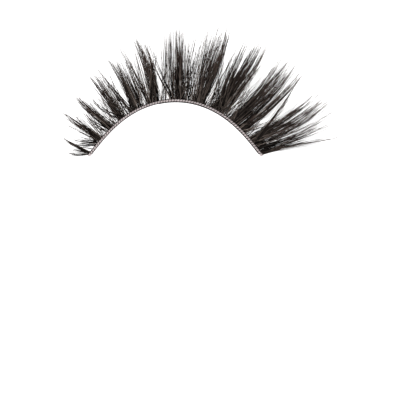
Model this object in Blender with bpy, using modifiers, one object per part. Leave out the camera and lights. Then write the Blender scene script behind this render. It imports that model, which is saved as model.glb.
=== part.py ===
"""False eyelash strip: a clear band bent to the lid's curve, with twelve bundles of curled lashes tied
along its outer side and finer crossing wisps in the gaps between them.

Metres, +Z up. The strip lies on its band. The origin is the middle of the band's underside at its
crown, +X runs towards the outer corner of the eye, +Y is the way the lashes point, and their tips
curl up along +Z.
"""

import math
from collections import namedtuple

import bmesh
import bpy
from mathutils import Vector

MM = 0.001

# Band
BAND_LENGTH = 33.0 * MM       # along its curve, bare tail included
BAND_WIDTH = 0.36 * MM
BAND_HEIGHT = 0.28 * MM
BAND_EDGE = 0.06 * MM         # chamfer along the two top edges
BAND_END_LEAN = 54.0          # degrees that each end turns from the crown's direction
BAND_FLARE = 0.5              # 0 is an even arc, 0.5 runs straight at its ends
BAND_POINTS = 61
CURVE_STEPS = 40              # steps in which a place on the curve is reached from the crown

# Root knots: the row of fibre ends tied beside the band
KNOT_GAP = 0.05 * MM          # clearance between the band and the knots
KNOT_SIZE = 0.26 * MM         # across and high

# Lashes
LASH_LENGTH = 13.9 * MM       # the longest, at the outer corner, along its curve
LASH_CURL = 62.0              # degrees that a lash has turned upwards at its tip
CURL_EASE = 1.5               # above 1 the root lies flat and the curl gathers towards the tip
LOCK_ROWS = 7                 # steps along a lock beyond its knot
KNOT_ROWS = 2                 # rows of a lock that lie across its knot
SEAM_TOLERANCE = 0.1          # share of a grid step, for finding the edges between two locks

# kind: lift is how steeply the roots rise, in degrees. widest and thick are a lock's section.
# split is the share of the length where a bundle parts into its locks.
Kind = namedtuple("Kind", "lift widest thick split")
BUNDLE = Kind(0.0, 1.10 * MM, 0.20 * MM, 0.45)
WISP = Kind(13.0, 0.36 * MM, 0.14 * MM, 0.18)

LOCK_CROWN = 0.05 * MM        # a lock's middle stands this much above its edges
LOCK_POINT = 0.8              # below 1 a lock stays full until near its tip
TIP_WIDTH = 0.05 * MM
TIP_THICK = 0.04 * MM

CAP_WELD = 0.001 * MM
SHARP_ANGLE = 40.0

# at: place along the band, 0 at the inner corner and 1 at the outer one.
# width: how much of the band the roots take. length: share of LASH_LENGTH.
# lean: degrees from square to the band towards the outer corner, and fan: how far it changes
# across the bundle. bow: degrees that a lock turns towards the inner corner on its way to the tip.
# ragged: share by which every other lock is shorter, or longer where it is negative.
Bundle = namedtuple("Bundle", "at width locks length lean fan bow ragged")

CLUSTERS = (
    Bundle(0.012, 0.014, 2, 0.28, -37, 6, 0, 0.0),
    Bundle(0.038, 0.028, 3, 0.38, -24, -26, 8, 0.18),
    Bundle(0.097, 0.042, 3, 0.54, -7, 12, 12, 0.10),
    Bundle(0.168, 0.044, 4, 0.55, -4, 4, 2, 0.05),
    Bundle(0.238, 0.046, 4, 0.67, 4, 6, 14, 0.04),
    Bundle(0.315, 0.050, 4, 0.75, 1, 6, 20, 0.09),
    Bundle(0.404, 0.062, 5, 0.84, 0, 4, 20, 0.10),
    Bundle(0.507, 0.066, 5, 0.95, -2, -6, -2, 0.01),
    Bundle(0.606, 0.070, 5, 0.96, 1, 8, 0, 0.03),
    Bundle(0.704, 0.072, 6, 0.98, 4, 8, 6, 0.02),
    Bundle(0.813, 0.082, 6, 1.00, 3, -2, 6, 0.03),
    Bundle(0.937, 0.100, 7, 1.01, 19, 22, 4, 0.03),
)

# One for each gap, in order along the band
WISPS = (
    Bundle(0.064, 0.016, 2, 0.30, -38, 10, 0, 0.0),
    Bundle(0.132, 0.018, 2, 0.36, -6, 32, 0, -0.45),
    Bundle(0.203, 0.018, 2, 0.55, -8, 10, 6, 0.0),
    Bundle(0.276, 0.020, 2, 0.60, -6, 14, 4, -0.06),
    Bundle(0.357, 0.024, 2, 0.72, -2, 14, 8, 0.0),
    Bundle(0.455, 0.030, 3, 0.80, -4, 26, 0, 0.12),
    Bundle(0.556, 0.022, 2, 0.78, 0, 14, -10, 0.1),
    Bundle(0.655, 0.020, 2, 0.80, -4, 14, 0, 0.02),
    Bundle(0.756, 0.024, 2, 0.95, 5, 14, -14, 0.12),
    Bundle(0.870, 0.024, 2, 0.84, 1, 26, 0, 0.0),
)


def clear_scene():
    for obj in list(bpy.data.objects):
        bpy.data.objects.remove(obj, do_unlink=True)


def collection(name):
    made = bpy.data.collections.new(name)
    bpy.context.scene.collection.children.link(made)
    return made


def material(name, color, roughness, alpha=1.0):
    made = bpy.data.materials.new(name)
    made.use_nodes = True
    shader = made.node_tree.nodes["Principled BSDF"]
    shader.inputs["Base Color"].default_value = (*color, 1.0)
    shader.inputs["Roughness"].default_value = roughness
    shader.inputs["Metallic"].default_value = 0.0
    shader.inputs["Alpha"].default_value = alpha
    return made


def heading(at):
    """The band's direction at a share of its length, in radians from +X."""
    u = 2 * at - 1
    return -math.radians(BAND_END_LEAN) * ((1 + BAND_FLARE) * u - BAND_FLARE * u ** 3)


def on_band(at):
    """The band's centre line at a share of its length, measured from the crown."""
    step = (at - 0.5) / CURVE_STEPS
    x = y = 0.0
    for i in range(CURVE_STEPS):
        turn = heading(0.5 + (i + 0.5) * step)
        x += math.cos(turn) * step * BAND_LENGTH
        y += math.sin(turn) * step * BAND_LENGTH
    return Vector((x, y, 0.0))


def beside_band(at, distance):
    """A point at a distance from the band's centre line, out on the lash side."""
    square = heading(at) + math.pi / 2
    return on_band(at) + distance * Vector((math.cos(square), math.sin(square), 0.0))


def section(name, corners):
    """A closed flat outline that a curve is swept with."""
    outline = bpy.data.curves.new(name, "CURVE")
    outline.dimensions = "2D"
    spline = outline.splines.new("POLY")
    spline.points.add(len(corners) - 1)
    for point, (x, y) in zip(spline.points, corners):
        point.co = (x, y, 0.0, 1.0)
    spline.use_cyclic_u = True
    made = bpy.data.objects.new(name, outline)
    made.hide_render = True
    made.display_type = "WIRE"
    return made


def band_corners():
    """A flat underside and sides, with the two top edges chamfered."""
    side = BAND_WIDTH / 2
    top = BAND_HEIGHT
    return [(-side, 0.0), (side, 0.0), (side, top - BAND_EDGE), (side - BAND_EDGE, top),
            (BAND_EDGE - side, top), (-side, top - BAND_EDGE)]


def make_band():
    """The section swept along the band's curve, made a mesh with its end caps joined on."""
    outline = section("band_section", band_corners())
    path = bpy.data.curves.new("band", "CURVE")
    path.dimensions = "3D"
    path.twist_mode = "Z_UP"
    path.use_fill_caps = True
    path.bevel_mode = "OBJECT"
    path.bevel_object = outline
    spline = path.splines.new("POLY")
    spline.points.add(BAND_POINTS - 1)
    for i, point in enumerate(spline.points):
        point.co = (*on_band(i / (BAND_POINTS - 1)), 1.0)
    curve = bpy.data.objects.new("band_path", path)
    bpy.context.scene.collection.objects.link(curve)
    graph = bpy.context.evaluated_depsgraph_get()
    mesh = bpy.data.meshes.new_from_object(curve.evaluated_get(graph))
    bpy.data.objects.remove(curve, do_unlink=True)
    shape = bmesh.new()
    shape.from_mesh(mesh)
    bmesh.ops.remove_doubles(shape, verts=shape.verts, dist=CAP_WELD)
    bmesh.ops.recalc_face_normals(shape, faces=shape.faces)
    shape.to_mesh(mesh)
    shape.free()
    return bpy.data.objects.new("band", mesh)


def row_shares(length):
    """Where a lock's rows lie along it: two close ones across the knot, then even ones."""
    knot = KNOT_SIZE / length
    return [0.0, knot] + [knot + (1 - knot) * (i / LOCK_ROWS) for i in range(1, LOCK_ROWS + 1)]


def lock_line(bundle, kind, index):
    """One lock's centre line, from its knot to its tip."""
    across = (2 * index + 1) / bundle.locks - 1
    at = bundle.at + across * bundle.width / 2
    lean = math.radians(bundle.lean + across * bundle.fan / 2)
    length = LASH_LENGTH * bundle.length * (1 - bundle.ragged * (index % 2))
    root = BAND_WIDTH / 2 + KNOT_GAP
    line = [beside_band(at, root) + Vector((0.0, 0.0, KNOT_SIZE / 2))]
    shares = row_shares(length)
    for start, end in zip(shares, shares[1:]):
        along = (start + end) / 2
        plan = heading(at) + math.pi / 2 - lean + math.radians(bundle.bow) * (along - 0.5)
        rise = math.radians(kind.lift + (LASH_CURL - kind.lift) * along ** CURL_EASE)
        flat = math.cos(rise)
        step = Vector((math.cos(plan) * flat, math.sin(plan) * flat, math.sin(rise)))
        line.append(line[-1] + step * length * (end - start))
    return line, shares


def sideways(line, row):
    """The level direction square to a lock at a row, towards the outer corner."""
    ahead = line[min(row + 1, len(line) - 1)] - line[max(row - 1, 0)]
    return Vector((ahead.y, -ahead.x, 0.0)).normalized()


def comb_place(kind, lines, shares, split_row, index, side, row):
    """Where a vertex of the comb goes. side is -1 or 1 at a lock's edges and 0 at its middle."""
    line = lines[index]
    if side == 0:
        return line[row] + Vector((0.0, 0.0, LOCK_CROWN * (1 - shares[row])))
    joined = min(row, split_row)
    other = index + side
    if 0 <= other < len(lines) and row <= split_row:
        return (line[row] + lines[other][row]) / 2
    pitch = (lines[1][joined] - lines[0][joined]).length
    half = min(pitch, kind.widest) / 2
    if row > split_row:
        half *= ((1 - shares[row]) / (1 - shares[split_row])) ** LOCK_POINT
    half = max(half, TIP_WIDTH / 2)
    return line[row] + sideways(line, row) * side * half


def make_bundle(name, bundle, kind):
    """A comb of locks: a grid that is split between its locks past the split, then thickened."""
    lines, all_shares = zip(*(lock_line(bundle, kind, i) for i in range(bundle.locks)))
    shares = all_shares[0]
    rows = len(shares) - 1
    split_row = max(KNOT_ROWS, round(kind.split * rows))

    comb = bmesh.new()
    bmesh.ops.create_grid(comb, x_segments=2 * bundle.locks, y_segments=rows, size=0.5)
    seams = []
    for edge in comb.edges:
        ends = [(vert.co.x + 0.5) * bundle.locks for vert in edge.verts]
        lengthwise = abs(ends[0] - ends[1]) < SEAM_TOLERANCE
        between = lengthwise and abs(ends[0] - round(ends[0])) < SEAM_TOLERANCE
        inside = 0 < round(ends[0]) < bundle.locks
        past = min(round((vert.co.y + 0.5) * rows) for vert in edge.verts) >= split_row
        if between and inside and past:
            seams.append(edge)
    bmesh.ops.split_edges(comb, edges=seams)

    places = {}
    fullness = {}
    for vert in comb.verts:
        column = (vert.co.x + 0.5) * bundle.locks
        row = round((vert.co.y + 0.5) * rows)
        middle = sum(face.calc_center_median().x for face in vert.link_faces)
        middle = (middle / len(vert.link_faces) + 0.5) * bundle.locks
        index = min(int(middle), bundle.locks - 1)
        side = round(2 * (column - index - 0.5))
        places[vert] = comb_place(kind, lines, shares, split_row, index, side, row)
        thin = kind.thick + (TIP_THICK - kind.thick) * shares[row] ** 2
        fullness[vert.index] = 1.0 if row < KNOT_ROWS else thin / KNOT_SIZE
    for vert, place in places.items():
        vert.co = place
    bmesh.ops.recalc_face_normals(comb, faces=comb.faces)
    mesh = bpy.data.meshes.new(name)
    comb.to_mesh(mesh)
    comb.free()

    made = bpy.data.objects.new(name, mesh)
    group = made.vertex_groups.new(name="fullness")
    for vert_index, share in fullness.items():
        group.add([vert_index], share, "REPLACE")
    thicken = made.modifiers.new("Thickness", "SOLIDIFY")
    thicken.thickness = KNOT_SIZE
    thicken.offset = 0.0
    thicken.vertex_group = group.name
    return made


def finish(obj, surface, store):
    obj.data.materials.clear()
    obj.data.materials.append(surface)
    obj.data.shade_smooth()
    obj.data.set_sharp_from_angle(angle=math.radians(SHARP_ANGLE))
    store.objects.link(obj)


def build():
    clear_scene()
    strip = collection("false_eyelash_strip")
    clear_nylon = material("clear_nylon", (0.78, 0.72, 0.72), 0.25, alpha=0.7)
    lash_fibre = material("lash_fibre", (0.012, 0.009, 0.009), 0.5)

    finish(make_band(), clear_nylon, strip)
    for number, bundle in enumerate(CLUSTERS, 1):
        finish(make_bundle(f"lash_cluster_{number:02d}", bundle, BUNDLE), lash_fibre, strip)
    for number, bundle in enumerate(WISPS, 1):
        finish(make_bundle(f"wisp_{number:02d}", bundle, WISP), lash_fibre, strip)


build()
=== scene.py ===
"""The looks of a false eyelash strip: single curled fibres in bundles and wisps, tied with dark
thread along a clear nylon band, on a white table under soft light."""

import math
from collections import namedtuple

import bpy
import numpy as np
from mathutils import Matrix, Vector


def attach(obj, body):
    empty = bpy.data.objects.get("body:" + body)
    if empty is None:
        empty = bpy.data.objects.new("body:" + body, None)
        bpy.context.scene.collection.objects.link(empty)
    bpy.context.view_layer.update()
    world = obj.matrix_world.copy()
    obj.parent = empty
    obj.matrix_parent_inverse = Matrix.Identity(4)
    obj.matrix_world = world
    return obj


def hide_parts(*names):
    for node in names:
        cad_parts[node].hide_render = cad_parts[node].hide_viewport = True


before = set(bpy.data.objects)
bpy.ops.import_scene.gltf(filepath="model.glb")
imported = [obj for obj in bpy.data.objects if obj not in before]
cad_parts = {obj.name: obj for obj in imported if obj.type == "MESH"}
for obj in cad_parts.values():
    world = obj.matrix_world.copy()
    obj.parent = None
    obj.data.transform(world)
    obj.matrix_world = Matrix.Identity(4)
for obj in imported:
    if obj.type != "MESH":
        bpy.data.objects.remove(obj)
bpy.ops.object.select_all(action="DESELECT")
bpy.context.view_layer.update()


# The band is a drawn clear nylon line, 33 mm long and flat underneath, which is set to the lid's
# curve by heat. Everything else is tied to it. Its CAD solid has the real shape, so it stays and
# takes the nylon's finish.
MM = 0.001
BAND_LENGTH = 33.0 * MM
BAND_WIDTH = 0.36 * MM
BAND_END_LEAN = 54.0         # degrees that each end turns from the crown's direction
BAND_FLARE = 0.5             # 0 is an even arc, 0.5 runs straight at its ends
BAND_STEPS = 400
NYLON = "#d0c5c5"
NYLON_CLOUD = "#8d8282"
NYLON_CLOUD_SIZE = 0.9 * MM


def heading(at):
    """The band's direction at a share of its length, in radians from +X."""
    u = 2 * np.asarray(at) - 1
    return -math.radians(BAND_END_LEAN) * ((1 + BAND_FLARE) * u - BAND_FLARE * u ** 3)


band_shares = np.linspace(0.0, 1.0, BAND_STEPS + 1)
band_turns = heading((band_shares[1:] + band_shares[:-1]) / 2)
band_steps = np.c_[np.cos(band_turns), np.sin(band_turns)] * BAND_LENGTH / BAND_STEPS
band_line = np.vstack([(0, 0), np.cumsum(band_steps, axis=0)])
band_line -= band_line[BAND_STEPS // 2]


def beside_band(at, distance, height):
    """Points at a distance from the band's centre line, out on the lash side, at a height."""
    square = heading(at) + math.pi / 2
    x = np.interp(at, band_shares, band_line[:, 0]) + distance * np.cos(square)
    y = np.interp(at, band_shares, band_line[:, 1]) + distance * np.sin(square)
    return np.stack([x, y, height + np.zeros_like(x)], axis=-1)


def colour(text):
    """A linear colour from an sRGB hex value."""
    parts = [int(text[i:i + 2], 16) / 255 for i in (1, 3, 5)]
    linear = [c / 12.92 if c <= 0.04045 else ((c + 0.055) / 1.055) ** 2.4 for c in parts]
    return (*linear, 1.0)


def add_node(material, kind, links=(), **settings):
    """A node with its settings. Each input is set to a value or linked from another's output."""
    node = material.node_tree.nodes.new(kind)
    for name, value in settings.items():
        setattr(node, name, value)
    for name, value in dict(links).items():
        if isinstance(value, bpy.types.NodeSocket):
            material.node_tree.links.new(value, node.inputs[name])
        else:
            node.inputs[name].default_value = value
    return node


# Drawn nylon 6, clear and glossy: light goes through it and picks up a faint pink cast, and the
# draw leaves a slight cloudiness in patches about a millimetre long.
drawn_nylon = bpy.data.materials.new("Drawn clear nylon")
drawn_nylon.use_nodes = True
shader = drawn_nylon.node_tree.nodes["Principled BSDF"]
where = add_node(drawn_nylon, "ShaderNodeTexCoord")
cloud = add_node(drawn_nylon, "ShaderNodeTexNoise",
                 {"Vector": where.outputs["Object"], "Scale": 1 / NYLON_CLOUD_SIZE, "Detail": 2.0})
tint = add_node(drawn_nylon, "ShaderNodeMixRGB",
                {"Fac": cloud.outputs["Fac"], "Color1": colour(NYLON),
                 "Color2": colour(NYLON_CLOUD)})
drawn_nylon.node_tree.links.new(tint.outputs["Color"], shader.inputs["Base Color"])
shader.inputs["Roughness"].default_value = 0.18
shader.inputs["IOR"].default_value = 1.53
shader.inputs["Transmission Weight"].default_value = 0.35

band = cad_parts["band"]
band.data.materials.clear()
band.data.materials.append(drawn_nylon)


# The lashes are heat-curled polyester (PBT) fibres, dyed near black, about 0.075 mm thick at the root
# and drawn to a point. They stand in twelve bundles, each combed into a few locks, with their roots
# tied along one side of the band.
LASH_CURL = 62.0             # degrees that a tip has turned up
CURL_EASE = 1.5              # above 1, most of the curl is near the tip
LASH_HEIGHT = 7.1 * MM       # no tip stands higher
FIBRE_POINTS = 12
FIBRE_SIDES = 4
FIBRE_WIDTH = 0.075 * MM
FIBRE_TIP = 0.25             # width near the tip, as a share of that at the root
FIBRE_TAPER = 1.8            # above 1, a fibre thins mostly near its tip
WIDTH_SCATTER = (0.8, 1.2)
ROOT_GAP = 0.02 * MM         # from the band's side to the roots
ROOT_LOW = 0.08 * MM
ROOT_HIGH = 0.30 * MM
ROOT_SPAN = (0.004, 0.996)   # shares of the band past which no root stands
LONGEST = 1.12               # a strand's length, as a share of its lock's
SHORTEST = 0.90
LONG_MOSTLY = 1.2            # above 1, more strands are long than short
STRAND = 4                   # fibres in each strand of a bundle
STRAND_ROOT = 0.06 * MM      # about how far a fibre's root stands from its strand's
STRAND_TIP = 0.09 * MM       # and its tip
STRAND_STEP = 0.50           # most that a fibre falls short of its strand, as a share
STEP_SMALL = 1.5             # above 1, most of them fall short by little
STRAND_FAN = 3.2             # how far the ends stay in the order of the roots
STRAND_DRIFT = 0.45          # and how far they leave it
WAIST = 3                    # halfway up a lock, ends scatter by its root's width over this
BOW_SCATTER = 3.0            # degrees
LIFT_SCATTER = (-6.0, 1.0)   # degrees
LOOSE_WIDTH = 0.085 * MM
LOOSE_ROOT = 1.1             # loose hairs stand this many root widths to each side
LOOSE_TIP = 2.0              # and their tips scatter this many times as far as the lock's
LOOSE_SHORTEST = 0.60
STRAY_EVERY = 2.5            # mm of a lock's length for each stray hair
STRAY_WIDTH = 0.06 * MM
STRAY_LENGTH = (0.35, 0.95)
STRAY_LEAN = 14.0            # degrees
MOST_LEAN = (-42.0, 34.0)    # degrees
# Strays' tones run high, so that more of them carry the painted highlight grey.
STRAY_TONE_AND_HIGHLIGHT = (0.6, 1.0)
TONE_SCATTER = 0.12
LASH_BLACK = "#030202"
# The grey is a painted highlight: the few strands mixed towards it stand for fibres that catch the
# light.
LASH_HIGHLIGHT_GREY = "#83776f"
LASH_BROWN = "#64554f"
FEW_HIGHLIGHTED = 5.0               # the higher, the fewer strands are grey
LATE_BROWN = 3.5             # the higher, the nearer to its tip a fibre turns brown
CLUSTER_SEED = 100

# at: place of the roots along the band, 0 at the inner corner and 1 at the outer one. root: their
# width along it in mm. length: in mm along the curve. lean: degrees from square to the band towards
# the outer corner. bow: degrees that it turns towards the inner corner on its way to the tip. tip:
# sideways scatter of the ends in mm. strands: how many. loose: how many single hairs stand about
# them.
Lock = namedtuple("Lock", "at root length lean bow tip strands loose")

CLUSTERS = (
    (Lock(0.003, 0.20, 3.9, -40, 0, 0.10, 3, 2), Lock(0.014, 0.3, 4.1, -32, 6, 0.14, 1, 3)),
    (Lock(0.014, 0.35, 5.3, -13, 8, 0.05, 6, 1), Lock(0.050, 0.6, 4.2, -42, 6, 0.20, 1, 2),
     Lock(0.077, 0.6, 4.4, -36, -10, 0.25, 1, 3)),
    (Lock(0.095, 0.9, 7.3, -9, 13, 0.20, 8, 5), Lock(0.098, 0.8, 6.4, 0, 2, 0.30, 2, 4),
     Lock(0.092, 0.6, 6.9, -14, 12, 0.30, 3, 5)),
    (Lock(0.166, 1.0, 7.8, -7, 0, 0.12, 11, 5), Lock(0.170, 1.0, 7.4, -4, 3, 0.18, 6, 5)),
    (Lock(0.226, 0.8, 9.0, 1, 18, 0.16, 7, 5), Lock(0.234, 0.9, 8.9, 4, 12, 0.14, 7, 5),
     Lock(0.240, 0.9, 8.9, 5, 14, 0.18, 3, 4)),
    (Lock(0.308, 1.0, 10.0, -3, 28, 0.14, 10, 5), Lock(0.318, 1.0, 9.0, 3, 11, 0.18, 7, 6),
     Lock(0.325, 0.9, 7.8, 5, 10, 0.30, 2, 6)),
    (Lock(0.398, 1.2, 11.1, -2, 24, 0.22, 14, 5), Lock(0.408, 1.2, 9.6, 1, 17, 0.20, 12, 5),
     Lock(0.412, 1.0, 10.2, 2, 16, 0.26, 2, 5)),
    (Lock(0.482, 0.9, 12.1, 1, -6, 0.20, 5, 5), Lock(0.499, 0.9, 12.3, -1, -9, 0.20, 7, 5),
     Lock(0.512, 0.9, 11.9, -2, 2, 0.24, 13, 5), Lock(0.526, 0.9, 12.2, -4, -5, 0.20, 8, 5),
     Lock(0.536, 0.9, 11.6, -5, 17, 0.22, 3, 5)),
    (Lock(0.592, 1.0, 12.3, -4, -3, 0.20, 4, 5), Lock(0.604, 1.0, 12.7, -2, -17, 0.20, 5, 5),
     Lock(0.611, 1.0, 12.8, 1, -17, 0.30, 13, 5), Lock(0.616, 1.0, 12.9, 3, 6, 0.30, 14, 5),
     Lock(0.606, 1.0, 12.9, 5, 24, 0.22, 8, 5)),
    (Lock(0.700, 1.0, 12.9, -5, -12, 0.20, 11, 6), Lock(0.672, 1.0, 13.1, 9, 20, 0.20, 8, 6),
     Lock(0.697, 1.2, 13.4, 6, -1, 0.32, 15, 6), Lock(0.711, 1.2, 13.4, 5, 14, 0.28, 15, 6)),
    (Lock(0.776, 1.0, 13.2, 1, 16, 0.22, 9, 5), Lock(0.785, 1.2, 13.6, 6, 4, 0.22, 16, 6),
     Lock(0.812, 1.2, 13.7, 4, 9, 0.24, 16, 6), Lock(0.842, 1.0, 13.5, 4, 8, 0.26, 12, 6),
     Lock(0.848, 1.6, 3.4, 8, 0, 0.50, 10, 4)),
    (Lock(0.904, 0.8, 13.0, 8, 8, 0.26, 5, 4), Lock(0.914, 0.9, 13.9, 9, -2, 0.28, 8, 4),
     Lock(0.920, 0.8, 14.3, 12, 8, 0.28, 8, 5), Lock(0.932, 0.8, 14.5, 14, 10, 0.32, 7, 5),
     Lock(0.955, 0.8, 14.5, 18, 2, 0.30, 6, 5), Lock(0.978, 0.6, 14.2, 23, -10, 0.24, 5, 5),
     Lock(0.985, 0.5, 13.7, 32, -22, 0.16, 3, 4), Lock(0.988, 0.3, 4.3, 28, -13, 0.10, 4, 2)),
)


def fibre_lines(root, at, lean, bow, length, lift):
    """Fibres' centre lines from their roots: an array of fibres x points x 3."""
    along = (np.arange(FIBRE_POINTS - 1) + 0.5) / (FIBRE_POINTS - 1)
    plan = (heading(at) + math.pi / 2 - lean)[:, None] + bow[:, None] * (along - 0.5)
    rise = lift[:, None] + (math.radians(LASH_CURL) - lift)[:, None] * along ** CURL_EASE
    flat = np.cos(rise)
    steps = np.stack([np.cos(plan) * flat, np.sin(plan) * flat, np.sin(rise)], axis=-1)
    steps *= length[:, None, None] / (FIBRE_POINTS - 1)
    return root[:, None] + np.concatenate([np.zeros((len(root), 1, 3)), steps], 1).cumsum(1)


def aimed(lines, targets):
    """The same lines turned about their roots and scaled, so that each tip lies over its target."""
    reach = lines[:, -1, :2] - lines[:, 0, :2]
    wanted = targets - lines[:, 0, :2]
    scale = np.hypot(*wanted.T) / np.hypot(*reach.T)
    turn = np.arctan2(wanted[:, 1], wanted[:, 0]) - np.arctan2(reach[:, 1], reach[:, 0])
    offset = (lines - lines[:, :1]) * scale[:, None, None]
    cos, sin = np.cos(turn)[:, None], np.sin(turn)[:, None]
    x = offset[..., 0] * cos - offset[..., 1] * sin
    y = offset[..., 0] * sin + offset[..., 1] * cos
    z = offset[..., 2] / np.maximum(scale, 1.0)[:, None]
    return lines[:, :1] + np.stack([x, y, z], axis=-1)


def lock_tips(lock, middle, strand, chance):
    """Each fibre's place across the lock's root, its share of the lock's length, and its tip."""
    even = (np.arange(lock.strands) + chance.uniform(0, 1, lock.strands)) / lock.strands - 0.5
    even = np.repeat(even, strand)
    across = np.append(even, LOOSE_ROOT * chance.uniform(-1.0, 1.0, lock.loose))
    drift = np.repeat(chance.normal(0.0, 1.0, lock.strands), strand)
    scatter = np.append(STRAND_FAN * even + STRAND_DRIFT * drift,
                        LOOSE_TIP * chance.normal(0.0, 1.0, lock.loose))
    least = np.append(np.full(lock.strands, SHORTEST), np.full(lock.loose, LOOSE_SHORTEST))
    share = LONGEST - (LONGEST - least) * chance.uniform(0.0, 1.0, len(least)) ** LONG_MOSTLY
    share = np.append(np.repeat(share[:lock.strands], strand), share[lock.strands:])
    share *= 1 - STRAND_STEP * chance.uniform(0.0, 1.0, len(share)) ** STEP_SMALL

    place = share * (FIBRE_POINTS - 1)
    before = np.minimum(place.astype(int), FIBRE_POINTS - 2)
    ahead = middle[before + 1] - middle[before]
    tips = middle[before] + ahead * (place - before)[:, None]
    side = np.stack([ahead[:, 1], -ahead[:, 0]], axis=-1)
    side /= np.linalg.norm(side, axis=1, keepdims=True)
    waist = lock.root / WAIST
    open_out = waist + (lock.tip - waist) * np.clip(2 * share - 1, 0, 1)
    offset = scatter * open_out * MM + chance.normal(0.0, STRAND_TIP, len(share))
    return across, share, tips + side * offset[:, None]


def lock_fibres(lock, lift, strand, thick, chance):
    """The lines, widths and tones of one lock's fibres, with painted highlights: its strands, loose
    hairs and strays.
    """
    one = np.ones(1)
    start = beside_band(lock.at * one, BAND_WIDTH / 2 + ROOT_GAP, (ROOT_LOW + ROOT_HIGH) / 2)
    middle = fibre_lines(start, lock.at * one, np.radians(lock.lean * one),
                         np.radians(lock.bow * one), lock.length * MM * one,
                         np.radians(lift * one))[0, :, :2]
    across, share, tips = lock_tips(lock, middle, strand, chance)

    count = len(share)
    strays = int(lock.length / STRAY_EVERY)
    total = count + strays
    across = np.append(across, chance.uniform(-1.0, 1.0, strays))
    share = np.append(share, chance.uniform(*STRAY_LENGTH, strays))
    lean = np.append(np.zeros(count), lock.lean + chance.normal(0.0, STRAY_LEAN, strays))
    lean = np.clip(lean, *MOST_LEAN)
    at = lock.at + (across * lock.root * MM + chance.normal(0.0, STRAND_ROOT, total)) / BAND_LENGTH
    at = np.clip(at, *ROOT_SPAN)
    root = beside_band(at, BAND_WIDTH / 2 + ROOT_GAP, chance.uniform(ROOT_LOW, ROOT_HIGH, total))
    bow = np.radians(lock.bow + chance.normal(0.0, BOW_SCATTER, total))
    rise = np.radians(np.abs(lift + chance.uniform(*LIFT_SCATTER, total)))
    lines = fibre_lines(root, at, np.radians(lean), bow, lock.length * MM * share, rise)
    lines[:count] = aimed(lines[:count], tips)
    foot = lines[:, :1, 2]
    lower = np.minimum((LASH_HEIGHT - foot) / (lines[:, -1:, 2] - foot), 1.0)
    lines[..., 2] = foot + (lines[..., 2] - foot) * lower

    in_strands = np.arange(count) < lock.strands * strand
    width = np.append(np.where(in_strands, thick, LOOSE_WIDTH), np.full(strays, STRAY_WIDTH))
    width *= chance.uniform(*WIDTH_SCATTER, total)
    # Each strand's tone sets its roughness and how far it is mixed towards the painted highlight
    # grey.
    tone_and_highlight = np.append(np.repeat(chance.uniform(0.0, 1.0, lock.strands), strand),
                     chance.uniform(0.0, 1.0, lock.loose))
    tone_and_highlight = np.append(tone_and_highlight, chance.uniform(*STRAY_TONE_AND_HIGHLIGHT, strays))
    tone_and_highlight = np.clip(tone_and_highlight + chance.uniform(-TONE_SCATTER, TONE_SCATTER, total), 0.0, 1.0)
    return lines, width, tone_and_highlight


def locks_fibres(locks, lift, strand, thick, chance):
    """The lines, widths and tones of several locks' fibres together, with painted highlights."""
    return [np.concatenate(each)
            for each in zip(*(lock_fibres(lock, lift, strand, thick, chance) for lock in locks))]


def fibre_mesh(name, lines, width, tone_and_highlight, tip=FIBRE_TIP):
    """One mesh of closed tubes along the lines, that taper to a share of their width at the tip."""
    count, points = lines.shape[:2]
    ahead = np.gradient(lines, axis=1)
    ahead /= np.linalg.norm(ahead, axis=2, keepdims=True)
    side = np.stack([ahead[..., 1], -ahead[..., 0], np.zeros((count, points))], axis=-1)
    side /= np.linalg.norm(side, axis=2, keepdims=True)
    over = np.cross(side, ahead)
    along = np.linspace(0.0, 1.0, points)
    radius = width[:, None] / 2 * (1 - (1 - tip) * along ** FIBRE_TAPER)
    angle = 2 * math.pi * (np.arange(FIBRE_SIDES) + 0.5) / FIBRE_SIDES
    ring = np.cos(angle)[:, None] * side[:, :, None] + np.sin(angle)[:, None] * over[:, :, None]
    rings = lines[:, :, None] + radius[:, :, None, None] * ring
    rings = rings[:, :-1].reshape(count, -1, 3)
    verts = np.concatenate([rings, lines[:, -1:]], axis=1)

    loops = points - 1
    corner = np.arange(FIBRE_SIDES)
    beside = (corner + 1) % FIBRE_SIDES
    loop = np.arange(loops - 1)[:, None] * FIBRE_SIDES
    walls = np.stack([loop + corner, loop + corner + FIBRE_SIDES,
                      loop + beside + FIBRE_SIDES, loop + beside], axis=-1)
    last = (loops - 1) * FIBRE_SIDES
    end = np.full(FIBRE_SIDES, loops * FIBRE_SIDES)
    point = np.stack([last + corner, end, last + beside], axis=-1)
    first = np.arange(count)[:, None, None] * verts.shape[1]
    faces = (first + walls.reshape(1, -1, 4)).reshape(-1, 4).tolist()
    faces += (first + point[None]).reshape(-1, 3).tolist()
    faces += (first[:, :, 0] + corner[None]).tolist()

    mesh = bpy.data.meshes.new(name)
    mesh.from_pydata(verts.reshape(-1, 3).tolist(), [], faces)
    mesh.shade_smooth()
    # The strand attribute carries each fibre's tone, which sets its roughness and its painted
    # highlight.
    strand = np.repeat(tone_and_highlight, verts.shape[1])
    tipward = np.tile(np.append(np.repeat(along[:-1], FIBRE_SIDES), 1.0), count)
    for attribute, values in (("strand", strand), ("along", tipward)):
        made = mesh.attributes.new(attribute, "FLOAT", "POINT")
        made.data.foreach_set("value", values.astype(np.float32))
    piece = bpy.data.objects.new(name, mesh)
    bpy.context.scene.collection.objects.link(piece)
    return piece
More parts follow.
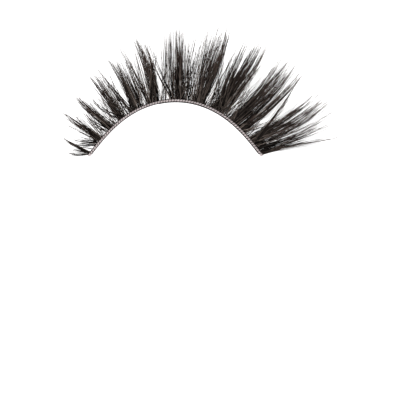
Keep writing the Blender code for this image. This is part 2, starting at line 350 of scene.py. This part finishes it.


# Dyed PBT: a soft dull black that turns brown where the drawn point lets light through. Every strand
# is a little glossier or duller than the next, and lighter or darker by a painted highlight: a grey
# that stands for the sheen a lit fibre catches.
dyed_fibre = bpy.data.materials.new("Dyed PBT fibre")
dyed_fibre.use_nodes = True
shader = dyed_fibre.node_tree.nodes["Principled BSDF"]
strand = add_node(dyed_fibre, "ShaderNodeAttribute", attribute_name="strand")
along = add_node(dyed_fibre, "ShaderNodeAttribute", attribute_name="along")
# Painted highlight: strands with a high tone are mixed from black towards grey, as if lit along their
# length.
highlight_share = add_node(dyed_fibre, "ShaderNodeMath", {0: strand.outputs["Fac"], 1: FEW_HIGHLIGHTED},
                 operation="POWER")
tipward = add_node(dyed_fibre, "ShaderNodeMath", {0: along.outputs["Fac"], 1: LATE_BROWN},
                   operation="POWER")
highlighted_tint = add_node(dyed_fibre, "ShaderNodeMixRGB",
                 {"Fac": highlight_share.outputs["Value"], "Color1": colour(LASH_BLACK),
                  "Color2": colour(LASH_HIGHLIGHT_GREY)})
tint = add_node(dyed_fibre, "ShaderNodeMixRGB",
                {"Fac": tipward.outputs["Value"], "Color1": highlighted_tint.outputs["Color"],
                 "Color2": colour(LASH_BROWN)})
dull = add_node(dyed_fibre, "ShaderNodeMapRange",
                {"Value": strand.outputs["Fac"], "To Min": 0.45, "To Max": 0.7})
dyed_fibre.node_tree.links.new(tint.outputs["Color"], shader.inputs["Base Color"])
dyed_fibre.node_tree.links.new(dull.outputs["Result"], shader.inputs["Roughness"])
shader.inputs["IOR"].default_value = 1.53
shader.inputs["Specular IOR Level"].default_value = 0.02

for number, locks in enumerate(CLUSTERS, 1):
    chance = np.random.default_rng(CLUSTER_SEED + number)
    lines, width, tone_and_highlight = locks_fibres(locks, 0.0, STRAND, FIBRE_WIDTH, chance)
    cluster = fibre_mesh(f"cluster_fibres_{number:02d}", lines, width, tone_and_highlight)
    cluster.data.materials.append(dyed_fibre)
    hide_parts(f"lash_cluster_{number:02d}")
    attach(cluster, "root")


# Sparse hairs stand in every gap between the bundles but the first, and cross one another. They are
# the same fibre, drawn as wide as two that stick together, tied a few at a time. Their roots rise
# more steeply.
WISP_LIFT = 13.0             # degrees
WISP_STRAND = 1
WISP_WIDTH = 0.12 * MM
WISP_SEED = 200
WISPS = (
    (Lock(0.064, 0.8, 4.2, -38, 0, 0.25, 3, 2), Lock(0.075, 0.8, 5.0, 6, 0, 0.30, 2, 2),
     Lock(0.088, 0.6, 4.4, -42, -6, 0.20, 3, 1)),
    (Lock(0.148, 0.6, 4.7, -23, 0, 0.25, 3, 2), Lock(0.112, 0.6, 7.4, 12, 0, 0.25, 3, 2),
     Lock(0.130, 0.8, 6.4, 0, 0, 0.35, 2, 3)),
    (Lock(0.236, 0.6, 8.0, -19, -34, 0.20, 4, 2), Lock(0.222, 0.5, 8.2, -5, 6, 0.20, 4, 2),
     Lock(0.200, 0.6, 7.1, 0, 0, 0.30, 1, 3), Lock(0.180, 0.6, 7.6, 16, 0, 0.30, 1, 2)),
    (Lock(0.297, 0.6, 5.2, -26, -30, 0.25, 1, 2), Lock(0.292, 0.6, 9.2, -15, 6, 0.20, 5, 2),
     Lock(0.270, 0.8, 9.4, -2, 0, 0.38, 4, 4), Lock(0.250, 0.6, 8.2, 14, 0, 0.30, 1, 2)),
    (Lock(0.345, 0.8, 10.6, 0, 10, 0.30, 8, 4), Lock(0.380, 0.5, 10.9, -10, 4, 0.20, 8, 2),
     Lock(0.376, 0.8, 10.4, 1, 8, 0.38, 7, 3), Lock(0.335, 0.6, 8.4, 18, 0, 0.30, 2, 2)),
    (Lock(0.485, 0.6, 10.7, -24, -4, 0.22, 8, 1), Lock(0.384, 0.5, 10.2, 31, -16, 0.20, 2, 1),
     Lock(0.381, 0.5, 11.8, 26, -1, 0.16, 2, 1), Lock(0.445, 0.7, 12.9, 7, 8, 0.36, 6, 4)),
    (Lock(0.562, 0.6, 12.4, -1, -36, 0.16, 4, 2), Lock(0.530, 0.6, 11.0, 16, 0, 0.20, 3, 2),
     Lock(0.556, 0.9, 11.6, 2, 0, 0.42, 7, 3), Lock(0.585, 0.6, 9.6, -18, 0, 0.30, 3, 2),
     Lock(0.580, 1.2, 3.2, 0, 0, 0.50, 6, 3)),
    (Lock(0.665, 0.8, 11.6, -6, 0, 0.30, 6, 4), Lock(0.723, 0.5, 11.8, -20, 1, 0.20, 4, 2),
     Lock(0.700, 0.6, 11.4, -30, 0, 0.25, 2, 2), Lock(0.640, 0.6, 11.4, 12, 0, 0.35, 3, 3)),
    (Lock(0.742, 0.6, 13.2, 9, -34, 0.18, 5, 2), Lock(0.756, 0.8, 11.6, 2, 0, 0.36, 2, 3),
     Lock(0.730, 0.6, 11.2, 18, 0, 0.30, 2, 2), Lock(0.785, 0.6, 10.2, -18, 0, 0.30, 1, 2)),
    (Lock(0.928, 0.6, 12.8, -12, -1, 0.14, 14, 3), Lock(0.846, 0.4, 7.4, 30, 0, 0.14, 2, 1),
     Lock(0.880, 0.6, 11.2, 14, 0, 0.30, 1, 2), Lock(0.868, 1.0, 3.4, 12, 0, 0.40, 6, 2)),
)

for number, locks in enumerate(WISPS, 1):
    chance = np.random.default_rng(WISP_SEED + number)
    lines, width, tone_and_highlight = locks_fibres(locks, WISP_LIFT, WISP_STRAND, WISP_WIDTH, chance)
    wisp = fibre_mesh(f"wisp_fibres_{number:02d}", lines, width, tone_and_highlight)
    wisp.data.materials.append(dyed_fibre)
    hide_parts(f"wisp_{number:02d}")
    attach(wisp, "root")


# Fine black polyester thread ties the roots down. A run of it lies along each edge of the band, with
# a second one on the eye's side from near the crown outwards, and short turns go over the band
# between them. Both ends of the band stay bare.
THREAD_SPAN = (0.015, 0.985)
THREAD_WIDTH = 0.12 * MM
THREAD_PITCH = 0.42 * MM
THREAD_SLANT = 0.10 * MM
TURN_TOP = 0.305 * MM
TURN_DROP = 0.13 * MM        # how far its ends lie below its top
TURN_SQUARE = 5              # the higher, the more squarely it bends over the band's edges
TURN_REACH = 0.21 * MM
TURN_POINTS = 9
RUN_GAP = 0.02 * MM          # from the band's side to a run's middle
RUN_POINTS = 160
THREAD_BLACK = "#151110"
THREAD_WORN = "#2b2322"
THREAD_FLECK = 0.25 * MM

turns = round((THREAD_SPAN[1] - THREAD_SPAN[0]) * BAND_LENGTH / THREAD_PITCH)
turn_at = np.linspace(*THREAD_SPAN, turns)[:, None]
out = np.linspace(1.0, -1.0, TURN_POINTS)[None]
turn_lines = beside_band(turn_at + out * THREAD_SLANT / BAND_LENGTH,
                         out * TURN_REACH, TURN_TOP - TURN_DROP * np.abs(out) ** TURN_SQUARE)
turn_piece = fibre_mesh("binding_turns", turn_lines, np.full(turns, THREAD_WIDTH),
                        np.zeros(turns), tip=1.0)

# side: 1 is the lashes' side and -1 the eye's. start: its share along the band. height and width
# are in mm.
Run = namedtuple("Run", "name side start height width")
RUNS = (
    Run("root_thread", 1, THREAD_SPAN[0], 0.27, 0.12),
    Run("edge_thread", -1, THREAD_SPAN[0], 0.21, 0.14),
    Run("doubled_edge_thread", -1, 0.42, 0.14, 0.20),
)

run_pieces = []
for run in RUNS:
    run_at = np.linspace(run.start, THREAD_SPAN[1], RUN_POINTS)[None]
    run_line = beside_band(run_at, run.side * (BAND_WIDTH / 2 + RUN_GAP), run.height * MM)
    run_pieces.append(fibre_mesh(run.name, run_line, np.array([run.width * MM]), np.zeros(1),
                                 tip=1.0))

# Spun polyester, dyed black: a dull thread, flecked where its surface has worn a little grey.
polyester_thread = bpy.data.materials.new("Black polyester thread")
polyester_thread.use_nodes = True
shader = polyester_thread.node_tree.nodes["Principled BSDF"]
where = add_node(polyester_thread, "ShaderNodeTexCoord")
fleck = add_node(polyester_thread, "ShaderNodeTexNoise",
                 {"Vector": where.outputs["Object"], "Scale": 1 / THREAD_FLECK, "Detail": 1.0})
tint = add_node(polyester_thread, "ShaderNodeMixRGB",
                {"Fac": fleck.outputs["Fac"], "Color1": colour(THREAD_BLACK),
                 "Color2": colour(THREAD_WORN)})
polyester_thread.node_tree.links.new(tint.outputs["Color"], shader.inputs["Base Color"])
shader.inputs["Roughness"].default_value = 0.7
shader.inputs["Specular IOR Level"].default_value = 0.1
for piece in (turn_piece, *run_pieces):
    piece.data.materials.append(polyester_thread)
    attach(piece, "root")


# The strip lies on a white acrylic table top, lit from a white room all round and a large soft
# light overhead, so that hardly a shadow falls.
TABLE_SIZE = 0.6
TABLE_WHITE = "#f4f4f4"
TABLE_GLOW = 0.8
ROOM_LIGHT = 1.0
SOFT_LIGHT = 0.25
SOFT_LIGHT_SIZE = 0.30
SOFT_LIGHT_PLACE = (-0.12, 0.18, 0.35)

bpy.ops.mesh.primitive_plane_add(size=TABLE_SIZE, location=(0, 0, 0))
table = bpy.context.active_object
table.name = "table_top"

# White acrylic sheet with a satin face. It glows, so that the ground stays even and pale, as on a
# light table.
white_acrylic = bpy.data.materials.new("White acrylic sheet")
white_acrylic.use_nodes = True
shader = white_acrylic.node_tree.nodes["Principled BSDF"]
shader.inputs["Base Color"].default_value = colour(TABLE_WHITE)
shader.inputs["Roughness"].default_value = 0.6
shader.inputs["Specular IOR Level"].default_value = 0.0
shader.inputs["Emission Color"].default_value = (1, 1, 1, 1)
shader.inputs["Emission Strength"].default_value = TABLE_GLOW
table.data.materials.append(white_acrylic)

room = bpy.data.worlds.new("White room")
room.use_nodes = True
room.node_tree.nodes["Background"].inputs["Color"].default_value = (1, 1, 1, 1)
room.node_tree.nodes["Background"].inputs["Strength"].default_value = ROOM_LIGHT
bpy.context.scene.world = room

bpy.ops.object.light_add(type="AREA", location=SOFT_LIGHT_PLACE)
soft_light = bpy.context.active_object
soft_light.name = "soft_light"
soft_light.data.energy = SOFT_LIGHT
soft_light.data.size = SOFT_LIGHT_SIZE
soft_light.rotation_euler = (-soft_light.location).to_track_quat("-Z", "Y").to_euler()

scene = bpy.context.scene
scene.view_settings.view_transform = "Standard"


# The camera looks down at 75 degrees from the bare side of the band, as the photograph does, through
# a long lens.
CAMERA_TARGET = Vector((3.727, -15.664, 0.0)) * MM
CAMERA_DISTANCE = 335.12 * MM
CAMERA_RISE = math.radians(75)
CAMERA_LENS = 200            # mm
CAMERA_SENSOR = 36           # mm
CAMERA_NEAR = 10 * MM
away = Vector((0.0, -math.cos(CAMERA_RISE), math.sin(CAMERA_RISE)))
bpy.ops.object.camera_add(location=CAMERA_TARGET + away * CAMERA_DISTANCE)
camera = bpy.context.active_object
camera.rotation_euler = (-away).to_track_quat("-Z", "Y").to_euler()
camera.data.lens = CAMERA_LENS
camera.data.sensor_width = CAMERA_SENSOR
camera.data.clip_start = CAMERA_NEAR
scene.camera = camera
